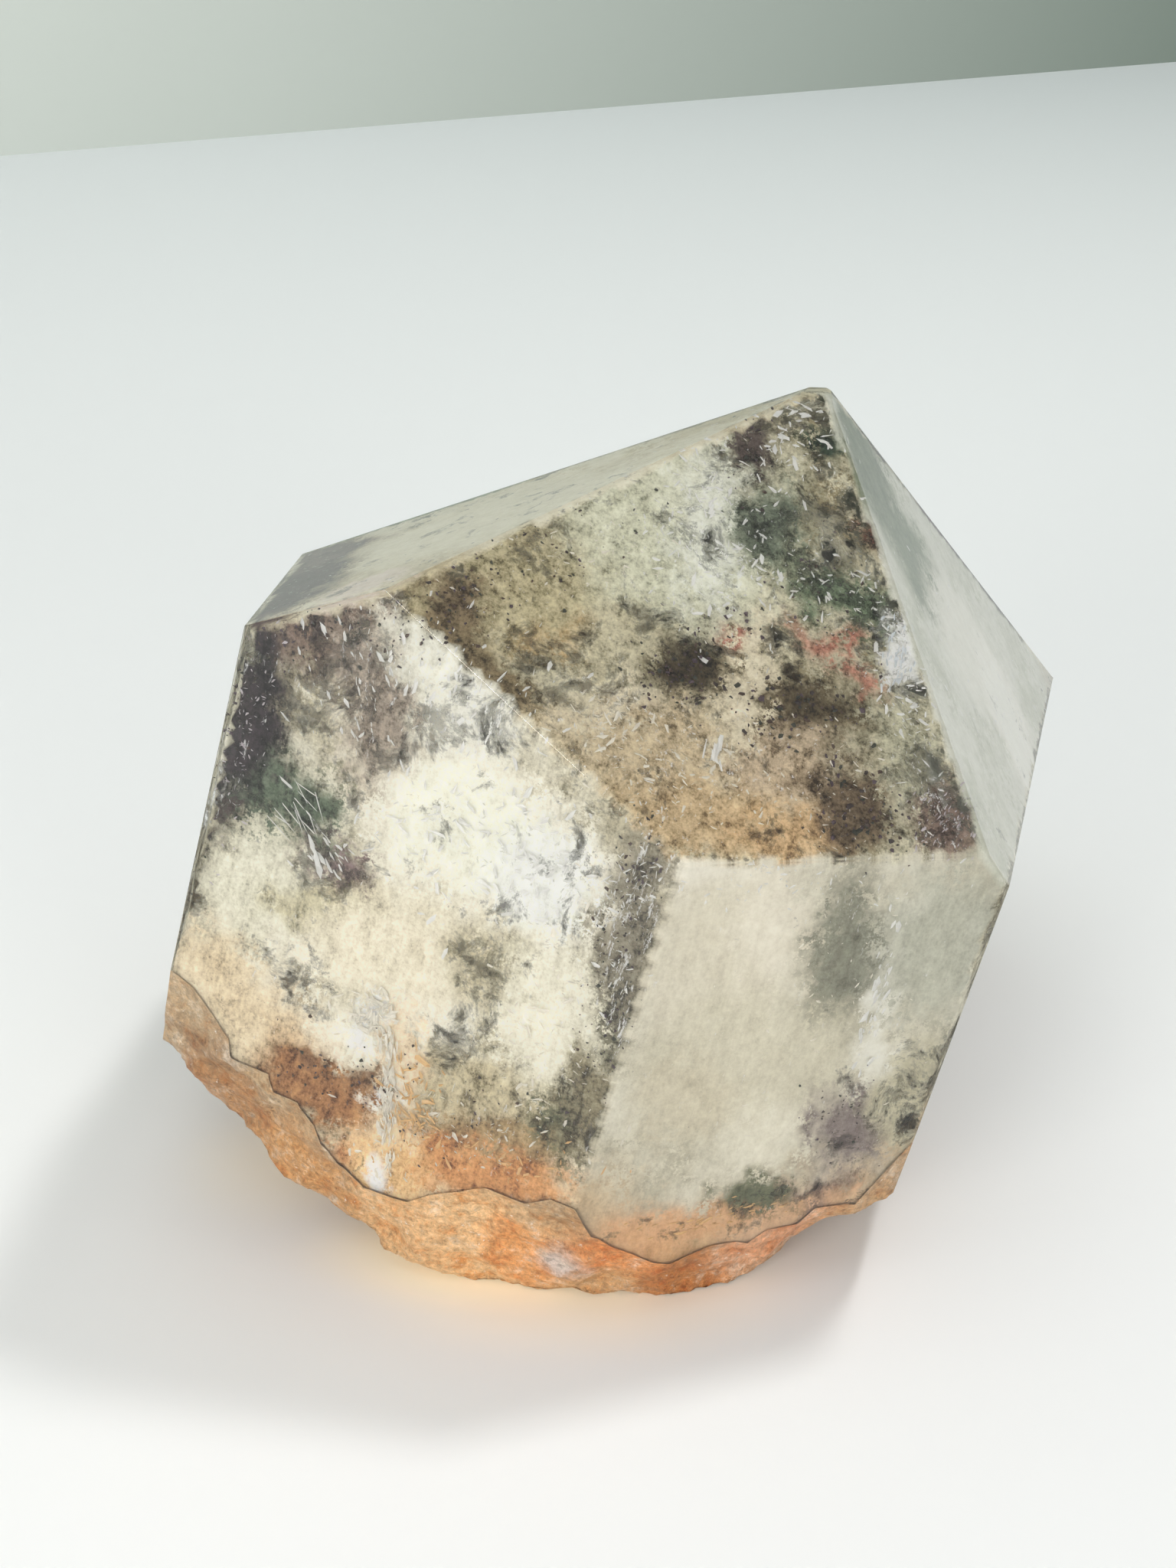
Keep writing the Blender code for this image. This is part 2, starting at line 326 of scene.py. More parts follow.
def makeSkin():
    bm = bmesh.new()
    bm.from_mesh(stone.data)
    bmesh.ops.remove_doubles(bm, verts=bm.verts, dist=1e-6)
    bmesh.ops.dissolve_limit(bm, angle_limit=math.radians(0.3), verts=bm.verts[:], edges=bm.edges[:])
    for f in bm.faces:
        f.normal_update()
        middle = f.calc_center_median()
        ground = middle.z > 0.8 * tip.z or (f.calc_area() > 0.6 * mm * mm and onGround(f.normal, f.normal.dot(middle)))
        f.material_index = 0 if ground else 1
        f.smooth = not ground
    crisp = [
        e for e in bm.edges
        if len(e.link_faces) == 2 and all(f.material_index == 0 for f in e.link_faces) and e.calc_face_angle(0) > math.radians(6)
    ]
    bmesh.ops.bevel(
        bm, geom=crisp, offset=skinLook["bevel"] * mm, segments=2, profile=0.5, affect="EDGES",
        clamp_overlap=True, material=0, offset_type="OFFSET",
    )
    bmesh.ops.triangulate(bm, faces=[f for f in bm.faces if f.material_index == 1])
    inner = [e for e in bm.edges if all(f.material_index == 1 for f in e.link_faces)]
    bmesh.ops.subdivide_edges(bm, edges=inner, cuts=skinLook["baseCuts"], use_grid_fill=True)
    bmesh.ops.triangulate(bm, faces=[f for f in bm.faces if f.material_index == 1])
    bm.normal_update()
    loose = [v for v in bm.verts if v.link_faces and all(f.material_index == 1 for f in v.link_faces)]
    depths = depthUnderGround(np.array([tuple(v.co) for v in loose]))
    moves = []
    for v, depth in zip(loose, depths):
        p = v.co / mm
        ease = min(max(depth / (0.7 * mm), 0.0), 1.0)
        lift = skinLook["grain"] * noise.turbulence(p * 0.75, 3, False) - skinLook["grain"] * 0.6
        lift += skinLook["grit"] * noise.noise(p * 3.1)
        moves.append((v, v.co + v.normal * (lift * ease * mm)))
    low, high = cadBox
    for v, co in moves:
        v.co = co
    for v in bm.verts:
        v.co = [min(max(v.co[i], low[i]), high[i]) for i in range(3)]
    mesh = bpy.data.meshes.new("crystalSkin")
    bm.to_mesh(mesh)
    bm.free()
    layer = mesh.color_attributes.new("stain", "FLOAT_COLOR", "POINT")
    stains = stainAt(np.array([tuple(v.co) for v in mesh.vertices]) / mm)
    layer.data.foreach_set("color", np.column_stack([stains, np.ones(len(stains))]).astype(np.float32).ravel())
    skin = bpy.data.objects.new("crystalSkin", mesh)
    bpy.context.scene.collection.objects.link(skin)
    mesh.materials.append(clearQuartz())
    mesh.materials.append(stainedBreak())
    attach(skin, "root")
    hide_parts("quartz_point")
    print("skin:", len(mesh.polygons), "faces")
    return skin


# the garden: clouds of inclusions, each by its spot in the picture, depth, size across and up and deep in mm, and tint
# name, spot, depth, (across, up, deep), lean in the picture, tint, thickness
gardenClouds = [
    # seen through the front point face
    ("tanHaze", (658, 745), 6, (7.0, 5.0, 6), 0, (160, 149, 114), 1.0, 0.2, 0.25),
    ("darkBrownShoulder", (585, 800), 4, (3.0, 1.8, 4), 35, (108, 92, 70), 0.8, 0.1, 0.5),
    ("brownRidge", (760, 680), 5, (5.0, 1.6, 4), 25, (120, 108, 82), 0.6, 0.12, 0.4),
    ("greenHaze", (885, 690), 7, (7.5, 7.5, 6), 0, (184, 186, 160), 1.0, 0.35, 0.1),
    ("frostPlume", (920, 700), 3, (2.4, 5.0, 3), -8, (206, 211, 195), 0.8, 0.6, 0.05),
    ("tipShade", (978, 580), 3, (1.6, 3.2, 3), 0, (74, 64, 62), 0.8, 0.15, 0.6),
    ("tipGreenBlock", (1082, 578), 2, (1.5, 1.5, 2), 0, (44, 60, 48), 0.95, 0.05, 0.2),
    ("greenShade", (1000, 690), 5, (2.8, 2.6, 4), 15, (84, 94, 82), 0.8, 0.3, 0.4),
    ("greenSlope", (1100, 785), 5, (4.6, 1.7, 4), -38, (84, 100, 80), 0.8, 0.2, 0.4),
    ("redBrownEdge", (1138, 700), 3, (1.1, 1.6, 3), 0, (84, 50, 42), 0.8),
    ("edgeShade", (640, 880), 3, (1.2, 6.0, 3), 48, (104, 90, 66), 1.0, 0.1, 0.35),
    ("hillCrest", (742, 828), 6, (3.6, 1.1, 4), 12, (150, 124, 84), 0.7),
    ("paleMoss", (818, 850), 6, (3.4, 2.8, 4), 0, (168, 160, 132), 0.9),
    ("hematiteLeft", (958, 822), 5, (1.6, 1.0, 3), -30, (150, 90, 78), 0.95, 0.2, 0.25),
    ("hematiteRight", (1100, 862), 5, (4.6, 0.8, 3), -40, (160, 96, 82), 0.95, 0.3, 0.25),
    ("creamLumps", (794, 948), 5, (3.2, 2.2, 4), 20, (236, 222, 192), 1.1, 0.5, 0.05),
    ("peachBed", (860, 985), 7, (7.0, 3.4, 6), -5, (170, 149, 117), 1.0, 0.45, 0.2),
    ("pinkBed", (1015, 1000), 7, (4.0, 3.6, 5), 0, (168, 146, 120), 1.0, 0.4, 0.2),
    ("amberBed", (905, 1070), 6, (6.0, 2.4, 5), 0, (174, 145, 106), 1.0, 0.35, 0.2),
    ("amberFoot", (1030, 1095), 6, (4.2, 1.8, 5), 0, (186, 146, 100), 0.8),
    ("darkLumpLeft", (896, 880), 6, (3.6, 2.2, 4), -12, (62, 54, 40), 1.1, 0.1, 0.35),
    ("darkLumpRight", (1050, 918), 6, (5.4, 2.5, 4), -12, (78, 68, 50), 1.1, 0.14, 0.35),
    ("paleRib", (972, 905), 3, (0.9, 6.6, 3), -16, (206, 190, 158), 0.95, 0.2, 0.1),
    ("umberLump", (1112, 1062), 5, (2.8, 3.4, 4), 15, (94, 79, 62), 1.1, 0.2, 0.45),
    ("mossStrip", (1186, 985), 4, (1.8, 5.0, 4), 12, (156, 154, 130), 0.75, 0.35, 0.2),
    ("violetCorner", (1246, 1070), 3, (2.4, 2.6, 3), 0, (104, 86, 80), 0.8, 0.5, 0.5),
    ("frostFleck", (1174, 856), 2, (0.9, 2.2, 2), 18, (236, 240, 240), 0.8, 0.8, 0.0),
    # seen through the left prism face
    ("violetBrow", (443, 815), 4, (6.5, 2.8, 4), 8, (106, 88, 80), 0.8, 0.2, 0.6),
    ("purpleEdge", (318, 935), 3, (2.9, 9.5, 3), -13, (48, 42, 48), 1.0, 0.35, 0.4),
    ("purpleEdgeLow", (276, 1085), 3, (2.2, 3.6, 3), -13, (62, 54, 54), 0.95, 0.25, 0.5),
    ("paleCrown", (585, 890), 5, (4.8, 5.2, 5), 0, (224, 223, 206), 0.95, 0.35, 0.06),
    ("frostCrown", (630, 945), 3, (2.2, 4.2, 3), -10, (214, 214, 202), 0.6, 0.6, 0.05),
    ("violetColumn", (497, 950), 4, (2.6, 6.0, 4), 5, (140, 126, 116), 0.7, 0.35, 0.3),
    ("leafShade", (390, 1058), 4, (3.4, 3.6, 3), -35, (78, 92, 78), 0.85, 0.05, 0.1),
    ("violetPool", (436, 1132), 4, (3.0, 2.0, 3), -20, (108, 90, 94), 0.8, 0.15, 0.3),
    ("celeryCloud", (335, 1150), 4, (4.0, 3.2, 4), 20, (207, 203, 180), 1.15),
    ("oliveCloud", (430, 1185), 5, (4.0, 1.6, 4), 0, (160, 152, 122), 1.0),
    ("creamCloud", (605, 1080), 5, (6.0, 4.4, 5), 0, (238, 231, 210), 1.0, 0.35, 0.03),
    ("creamCloudRight", (705, 1150), 4, (3.4, 3.4, 4), 0, (248, 243, 230), 0.9, 0.5, 0.0),
    ("buffCloud", (535, 1240), 6, (7.0, 3.8, 5), 0, (219, 206, 178), 1.15),
    ("slateBand", (826, 1225), 2.5, (2.5, 9.0, 3), -16, (110, 104, 92), 1.35, 0.6, 0.4),
    ("slateBandLow", (778, 1410), 2.5, (1.7, 4.6, 3), -16, (78, 76, 63), 1.35, 0.35, 0.4),
    ("oliveMist", (655, 1265), 5, (3.2, 2.2, 4), 0, (150, 141, 116), 0.75),
    ("creamLow", (725, 1335), 4, (3.0, 5.0, 4), 5, (228, 222, 198), 1.1),
    ("creamWave", (408, 1352), 4, (4.6, 1.4, 4), -8, (240, 226, 198), 1.3, 0.3, 0.05),
    ("greenFoot", (722, 1466), 4, (2.0, 2.2, 3), 0, (72, 82, 66), 0.85, 0.2, 0.4),
    ("tanInside", (335, 1400), 3, (5.2, 6.2, 3), -30, (194, 158, 118), 1.3, 0.2, 0.34),
    ("rustPocket", (405, 1428), 3, (6.6, 2.6, 3), -6, (142, 93, 50), 1.4, 0.05, 0.3),
    ("rustBrow", (425, 1384), 3, (4.8, 0.7, 3), -4, (112, 78, 50), 1.3, 0.05, 0.3),
    ("greyPool", (432, 1484), 2, (2.4, 0.8, 3), -10, (186, 166, 134), 1.3, 0.2, 0.15),
    ("redStreak", (420, 1508), 2, (3.6, 1.3, 3), -30, (190, 116, 66), 1.3, 0.15, 0.2),
    ("oliveFloor", (620, 1425), 5, (5.0, 2.6, 4), 0, (170, 156, 124), 1.0, 0.25, 0.2),
    ("grainFloor", (640, 1490), 3, (5.4, 1.6, 3), 0, (140, 114, 78), 1.1, 0.4, 0.4),
    ("sandSkin", (282, 1300), 2, (3.6, 5.4, 3), 12, (206, 180, 144), 1.3, 0.2, 0.34),
    ("sandFoot", (385, 1500), 2, (6.5, 2.4, 3), -42, (196, 148, 100), 1.3, 0.3, 0.3),
    ("rustBandLeft", (610, 1530), 2, (7.5, 1.8, 3), -4, (190, 118, 58), 1.3, 0.2, 0.25),
    ("rustBandSeam", (500, 1540), 2, (2.6, 3.0, 3), 0, (226, 166, 100), 0.95, 0.3, 0.1),
    ("goldFoot", (472, 1572), 2, (1.8, 2.2, 3), -10, (184, 132, 62), 1.2, 0.1, 0.2),
    ("whiteSeam", (505, 1412), 2, (0.8, 2.1, 3), 2, (255, 250, 238), 1.4, 0.5, 0.0),
    ("whiteSeamFoot", (500, 1538), 2, (0.8, 1.4, 3), 2, (255, 250, 238), 1.4, 0.5, 0.0),
    ("peachKnot", (508, 1478), 2, (1.1, 1.3, 3), 2, (238, 192, 140), 1.4, 0.3, 0.1),
    ("seamHead", (492, 1332), 2, (1.7, 1.5, 3), 0, (255, 252, 244), 1.4, 0.4, 0.0),
    ("peachSeam", (520, 1370), 3, (1.6, 3.4, 3), 5, (234, 198, 158), 1.2, 0.3, 0.1),
    ("greyGrain", (770, 1440), 2.5, (1.8, 3.4, 3), 8, (112, 104, 84), 0.85, 0.3, 0.5),
    # seen through the right prism face
    ("rustBandRight", (900, 1598), 2, (6.0, 1.2, 3), 8, (214, 150, 102), 0.95, 0.2, 0.15),
    ("rustBandFar", (1060, 1580), 2, (3.6, 1.1, 3), 14, (206, 152, 112), 0.9, 0.2, 0.15),
    ("whitePatch", (915, 1148), 3, (4.0, 1.4, 3), 0, (230, 222, 204), 1.2),
    ("roseGrey", (905, 1255), 6, (5.4, 5.4, 5), 0, (206, 197, 176), 1.35, 0.1, 0.05),
    ("creamColumn", (1010, 1200), 5, (2.2, 4.6, 4), 4, (222, 212, 192), 1.1),
    ("slateCloud", (1096, 1262), 5, (2.4, 8.0, 4), -6, (116, 117, 106), 1.3, 0.2, 0.15),
    ("paleStreak", (1160, 1290), 3, (1.1, 7.0, 3), -10, (236, 234, 222), 1.35, 0.6, 0.0),
    ("greyFlank", (1232, 1235), 5, (4.4, 5.0, 5), 0, (164, 166, 153), 1.25, 0.1, 0.1),
    ("mistField", (975, 1375), 6, (7.0, 4.4, 5), 0, (197, 190, 168), 1.35, 0.1, 0.05),
    ("creamFoot", (1015, 1478), 5, (5.0, 2.4, 4), 10, (216, 209, 188), 1.25),
    ("creamFootLeft", (890, 1440), 5, (3.6, 3.0, 4), 0, (190, 180, 157), 1.3),
    ("violetFoot", (1104, 1460), 4, (2.6, 3.4, 3), 15, (122, 110, 112), 0.8, 0.15, 0.4),
    ("greenTablet", (993, 1556), 3, (2.4, 1.3, 3), 0, (92, 98, 78), 0.85),
    ("violetTablet", (1068, 1548), 3, (1.8, 1.2, 3), 0, (124, 102, 94), 0.8),
    ("oliveFlank", (1190, 1430), 4, (3.2, 3.6, 4), 0, (174, 168, 142), 0.75),
    # seen through the right point face
    ("tipMist", (1136, 620), 3, (3.8, 4.8, 4), 0, (108, 120, 102), 1.35),
    ("greenGleam", (1196, 742), 4, (5.0, 4.4, 4), -30, (106, 120, 100), 1.3),
    ("milkVeil", (1262, 850), 4, (6.0, 5.5, 4), 0, (224, 224, 212), 1.35, 0.1, 0.0),
    ("milkSpark", (1318, 950), 3, (4.0, 6.0, 3), 0, (240, 238, 228), 1.0, 0.4, 0.0),
    # seen through the left point face
    ("oliveSlope", (690, 665), 4, (12.0, 5.0, 5), 0, (228, 218, 188), 1.0, 0.2, 0.05),
    ("pinkShoulder", (480, 762), 2, (2.6, 1.2, 3), 20, (230, 204, 190), 0.95, 0.5, 0.0),
    ("purpleShoulder", (350, 785), 2, (5.5, 6.5, 3), 0, (72, 54, 62), 1.4, 0.35, 0.3),
    ("purpleShoulderFar", (420, 728), 2, (3.6, 3.4, 3), 0, (92, 74, 78), 1.2, 0.4, 0.4),
]
# the colour between the clouds, by the face it is seen through: a spot, light and dark tints, how much they swing, and
# a gain that paints the whole face lighter or darker as the light falls on it (painted light and shade)
faceGrounds = [
    ("frontPoint", (900, 900), (180, 174, 147), (116, 105, 79), 1.0, 1.05),
    ("leftPrism", (600, 1200), (216, 210, 190), (150, 142, 119), 0.95, 1.07),
    ("rightPrism", (1050, 1350), (203, 197, 178), (164, 159, 141), 0.4, 0.95),
    ("rightPoint", (1270, 850), (208, 211, 200), (174, 180, 164), 0.3, 1.0),
    ("leftPoint", (700, 660), (226, 214, 184), (184, 168, 134), 0.5, 1.02),
]
otherGrounds = ((204, 199, 178), (140, 132, 110))
shardTints = {"frost": (252, 250, 240), "cream": (252, 240, 212), "orange": (232, 168, 104), "lilac": (190, 178, 182), "silver": (226, 236, 240)}
gardenLook = {
    "gain": 1.18, "through": 0.384, "held": 0.6, "axisLean": 0.26, "stainNear": 0.9, "stainFar": 4.6, "stainShare": 0.92, "warmth": (1.02, 1.0, 0.92), "contrast": 1.28, "lift": 1.2, "stone": np.array((1.05, 1.0, 0.86)), "dulled": 0.28,
    "fleckTint": (1.0, 0.99, 0.95, 1), "grainTint": (0.06, 0.048, 0.04, 1),
}


def prepareClouds():
    ready = []
    seenFaces = {faceOf(insideStone(spot[0], spot[1], 1.0)[2]) for _, spot, *_ in faceGrounds}
    for name, spot, depth, size, lean, tint, thickness, *marks in gardenClouds:
        middle, inner, normal = insideStone(spot[0], spot[1], depth)
        across = lookRight - inner * lookRight.dot(inner)
        across.normalize()
        up = inner.cross(across)
        if up.dot(lookUp) < 0:
            up.negate()
        cloud = shapeCloud(middle, inner, across, up, size, lean, tint, thickness, marks, faceOf(normal))
        ready.append(cloud)
        # the unseen sides carry the same kinds of cloud, turned half round
        turned = Vector((-middle.x, -middle.y, middle.z)) - heart
        hit, hitNormal, _, _ = stoneTree.ray_cast(heart, turned.normalized())
        if hit is None or faceOf(hitNormal) < 0 or faceOf(hitNormal) in seenFaces:
            continue
        inward = -hitNormal
        across = inward.cross(Vector((0, 0, 1))).normalized()
        up = across.cross(inward)
        ready.append(shapeCloud(hit + inward * (depth * mm), inward, across, up, size, lean, tint, thickness, marks, faceOf(hitNormal)))
    return ready


def shapeCloud(middle, inner, across, up, size, lean, tint, thickness, marks, face):
    turn = math.radians(lean)
    first = across * math.cos(turn) + up * math.sin(turn)
    second = up * math.cos(turn) - across * math.sin(turn)
    axes = np.array([tuple(first), tuple(second), tuple(inner)]) / np.array((size[0], size[1], size[2] * 2.6))[:, None]
    flecks, grains = marks if marks else (0.15, 0.08)
    return np.array(tuple(middle)) / mm, axes, linear(*tint), thickness, (flecks, grains), face


# colour, thickness and marks of the garden at points given in mm
def gardenTint(points, clouds, seed):
    shift = Vector((seed * 3.7, seed * 1.9, seed * 5.3))
    warp = np.array([tuple(
        noise.noise_vector(Vector(p) / 5.0 + shift) * 1.0 + noise.noise_vector(Vector(p) / 1.9 + shift) * 1.3
        + noise.noise_vector(Vector(p) / 0.8 + shift) * 0.9
    ) for p in points])
    moved = points + warp
    broad = np.array([noise.noise(Vector(p) / 4.5 + shift) + 0.5 * noise.noise(Vector(p) / 1.8 + shift) for p in moved])
    other = np.array([noise.noise(Vector(p) / 3.0 - shift) for p in moved])
    gaps = groundOffsets[None, :] / mm - points @ groundNormals.T
    nearest = gaps.argmin(axis=1)
    light = np.ones((len(points), 1)) * linear(*otherGrounds[0])
    dark = np.ones((len(points), 1)) * linear(*otherGrounds[1])
    for _, spot, paleTint, deepTint, _, _ in faceGrounds:
        here = nearest == faceOf(insideStone(spot[0], spot[1], 1.0)[2])
        light[here] = linear(*paleTint)
        dark[here] = linear(*deepTint)
    tint = light + (dark - light) * smoothStep(broad, -0.35, 0.45)[:, None]
    thick = 0.62 + 0.42 * other
    swing = np.ones(len(points))
    gain = np.full(len(points), gardenLook["lift"])
    for _, spot, _, _, amount, faceLightGain in faceGrounds:
        here = nearest == faceOf(insideStone(spot[0], spot[1], 1.0)[2])
        swing[here] = amount
        # painted light and shade: each face is made lighter or darker by its own gain
        gain[here] *= faceLightGain
        thick[here] += (1 - amount) * 1.0
    marks = np.ones((len(points), 2)) * (0.16, 0.08)
    # close to the broken skin the garden takes its stain
    away = np.array([skinTree.find(Vector(p) * mm)[2] for p in moved]) / mm
    stained = (1 - smoothStep(away, gardenLook["stainNear"], gardenLook["stainFar"])) * gardenLook["stainShare"]
    tint = tint + (stainAt(points) - tint) * stained[:, None]
    thick = thick + (1 - thick) * stained
    for middle, axes, colour, thickness, cloudMarks, face in clouds:
        away = np.linalg.norm((moved - middle) @ axes.T, axis=1)
        amount = (1 - smoothStep(away, 0.7, 1.25)) * np.where((nearest == face) | (face < 0), 1.0, 0.0)
        tint = tint + (colour - tint) * amount[:, None]
        thick = thick + (thickness - thick) * amount
        marks = marks + (np.array(cloudMarks) - marks) * amount[:, None]
    marks = np.column_stack([marks, swing])
    shine = tint @ np.array((0.30, 0.60, 0.10))
    tint = tint + (shine[:, None] * gardenLook["stone"] - tint) * gardenLook["dulled"]
    marks[:, 2] *= np.interp(shine, (0.05, 0.8), (1.5, 0.55))
    tint = gain[:, None] * np.clip(tint, 0, 1) ** gardenLook["contrast"]
    return np.clip(tint * gardenLook["warmth"], 0, 1), np.clip(thick, 0, 1.4), marks


def stoneReach(directions, depth, ruffle, shift):
    towards = directions @ groundNormals.T
    start = np.array(tuple(heart))

    def under(amount):
        gap = groundOffsets - amount * mm - groundNormals @ start
        return np.where(towards > 1e-6, gap / np.maximum(towards, 1e-6), 1.0).min(axis=1)

    shallow, deep = under(0.12), under(depth)
    places = start + directions * deep[:, None]
    dents = np.array([
        0.5 + 0.55 * noise.noise(Vector(p) / mm / 4.0 + shift) + 0.3 * noise.noise(Vector(p) / mm / 1.6 + shift)
        + 0.16 * noise.noise(Vector(p) / mm / 0.8)
        for p in places
    ])
    deep = deep - np.clip(dents, 0, 1.4) * ruffle * mm
    near = np.array([skinTree.find(Vector(p))[2] for p in places]) / mm
    closing = 1 - smoothStep(near, 0.6, 3.0)
    reach = deep + (shallow - deep) * closing * (depth < 1)
    for i, d in enumerate(directions):
        hit, normal, _, distance = stoneTree.ray_cast(heart, Vector(d))
        if hit is not None and faceOf(normal) < 0:
            inside = depthUnderGround(np.array([tuple(hit)]))[0] / mm
            reach[i] = min(reach[i], distance - (0.1 + 0.5 * min(inside, 1.2) + depth * 0.4) * mm)
    return np.maximum(reach, 2 * mm)


# growth shells: phantoms of the crystal at several depths, thinner towards the outside
growthShells = [
    {"name": "outerVeil", "depth": 0.22, "ruffle": 0.4, "opacity": 0.96, "seed": 1, "level": 7},
    {"name": "gardenBed", "depth": 1.5, "ruffle": 1.3, "opacity": 1.0, "seed": 2, "level": 7},
    {"name": "gardenHeart", "depth": 4.2, "ruffle": 2.0, "opacity": 0, "seed": 3, "level": 6},
]


# what a colour loses by lying inside the crystal is given back
def insideColour(tree, colour):
    held = put(tree, "ShaderNodeVectorMath", {"operation": "MULTIPLY_ADD"}, i0=colour, i1=(gardenLook["held"],) * 3, i2=(gardenLook["through"],) * 3)
    return put(tree, "ShaderNodeVectorMath", {"operation": "DIVIDE"}, i0=colour, i1=held.outputs[0]).outputs[0]


def gardenMaterial(name, opacity, seed):
    mat, tree, shader, out = freshMaterial(name)
    where = put(tree, "ShaderNodeTexCoord").outputs["Object"]
    tint = put(tree, "ShaderNodeVertexColor", {"layer_name": "tint"})
    marks = put(tree, "ShaderNodeVertexColor", {"layer_name": "marks"})
    shares = put(tree, "ShaderNodeSeparateColor", None, Color=marks.outputs["Color"]).outputs
    lean = gardenLook["axisLean"]
    along = put(tree, "ShaderNodeMapping", {"vector_type": "TEXTURE"}, Vector=where, Rotation=(0.0, lean, 0.0), Scale=(1, 1, 4)).outputs[0]
    streaks = spread(tree, along, 1300.0, 3.0, 0.74)
    mottling = spread(tree, where, 950.0, 5.0, 0.8)
    specks = spread(tree, where, 4200.0, 2.0, 0.75)
    fray = put(tree, "ShaderNodeVertexColor", {"layer_name": "fray"}).outputs["Color"]
    frayed = math2(tree, "MULTIPLY", math2(tree, "SUBTRACT", spread(tree, where, 1500.0, 3.0, 0.9), 0.47), 9.0, clamp=True)
    colour = mixColour(tree, "MIX", frayed, tint.outputs["Color"], fray)
    swing = math2(tree, "ADD", math2(tree, "MULTIPLY", streaks, 2.4), math2(tree, "MULTIPLY", mottling, 3.0))
    swing = math2(tree, "ADD", swing, math2(tree, "MULTIPLY", specks, 1.8))
    swing = math2(tree, "MULTIPLY", math2(tree, "SUBTRACT", swing, 3.6), shares[2])
    gain = math2(tree, "MULTIPLY", math2(tree, "MAXIMUM", math2(tree, "ADD", swing, 1.0), 0.2), gardenLook["gain"])
    colour = mixColour(tree, "MULTIPLY", 1.0, colour, grey(tree, gain))
    flecks = blotches(tree, along, 2300.0, shares[0], 0.69, 0.21)
    shifted = put(tree, "ShaderNodeMapping", None, Vector=where, Location=(0.31, 0.17, 0.43)).outputs[0]
    grains = blotches(tree, shifted, 1900.0, shares[1], 0.70, 0.21)
    colour = mixColour(tree, "MIX", math2(tree, "MULTIPLY", grains, 0.78), colour, gardenLook["grainTint"])
    colour = mixColour(tree, "MIX", math2(tree, "MULTIPLY", flecks, 0.62), colour, gardenLook["fleckTint"])
    tree.links.new(insideColour(tree, colour), shader.inputs["Base Color"])
    if opacity:
        erode = spread(tree, where, 340.0 + 40.0 * seed, 5.0, 0.76, 0.4)
        level = math2(tree, "ADD", erode, math2(tree, "MULTIPLY", tint.outputs["Alpha"], 0.36))
        alpha = math2(tree, "MULTIPLY", math2(tree, "MULTIPLY", math2(tree, "SUBTRACT", level, 0.66), 8.0, clamp=True), opacity)
        alpha = math2(tree, "MAXIMUM", alpha, math2(tree, "MAXIMUM", flecks, math2(tree, "MULTIPLY", grains, 0.8)))
        tree.links.new(alpha, shader.inputs["Alpha"])
    shader.inputs["Roughness"].default_value = 0.6
    shader.inputs["Specular IOR Level"].default_value = 0.1
    return mat


def makeShells(clouds):
    for shell in growthShells:
        bm = bmesh.new()
        bmesh.ops.create_icosphere(bm, subdivisions=shell["level"], radius=1.0)
        directions = np.array([tuple(v.co.normalized()) for v in bm.verts])
        shift = Vector((shell["seed"] * 7.1, 3.3, shell["seed"] * 2.9))
        reach = stoneReach(directions, shell["depth"], shell["ruffle"], shift)
        places = np.array(tuple(heart)) + directions * reach[:, None]
        for v, place in zip(bm.verts, places):
            v.co = place
        mesh = bpy.data.meshes.new(shell["name"])
        bm.to_mesh(mesh)
        bm.free()
        tint, thick, marks = gardenTint(places / mm, clouds, shell["seed"])
        layer = mesh.color_attributes.new("tint", "FLOAT_COLOR", "POINT")
        layer.data.foreach_set("color", np.column_stack([tint, thick]).astype(np.float32).ravel())
        frayed, _, _ = gardenTint(places / mm, clouds, shell["seed"] + 10)
        layer = mesh.color_attributes.new("fray", "FLOAT_COLOR", "POINT")
        layer.data.foreach_set("color", np.column_stack([frayed, thick]).astype(np.float32).ravel())
        layer = mesh.color_attributes.new("marks", "FLOAT_COLOR", "POINT")
        layer.data.foreach_set("color", np.column_stack([marks, np.ones(len(marks))]).astype(np.float32).ravel())
        mesh.polygons.foreach_set("use_smooth", [True] * len(mesh.polygons))
        piece = bpy.data.objects.new(shell["name"], mesh)
        bpy.context.scene.collection.objects.link(piece)
        mesh.materials.append(gardenMaterial(shell["name"] + "Tint", shell["opacity"], shell["seed"]))
        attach(piece, "root")
        print("shell", shell["name"], len(mesh.polygons), "faces")


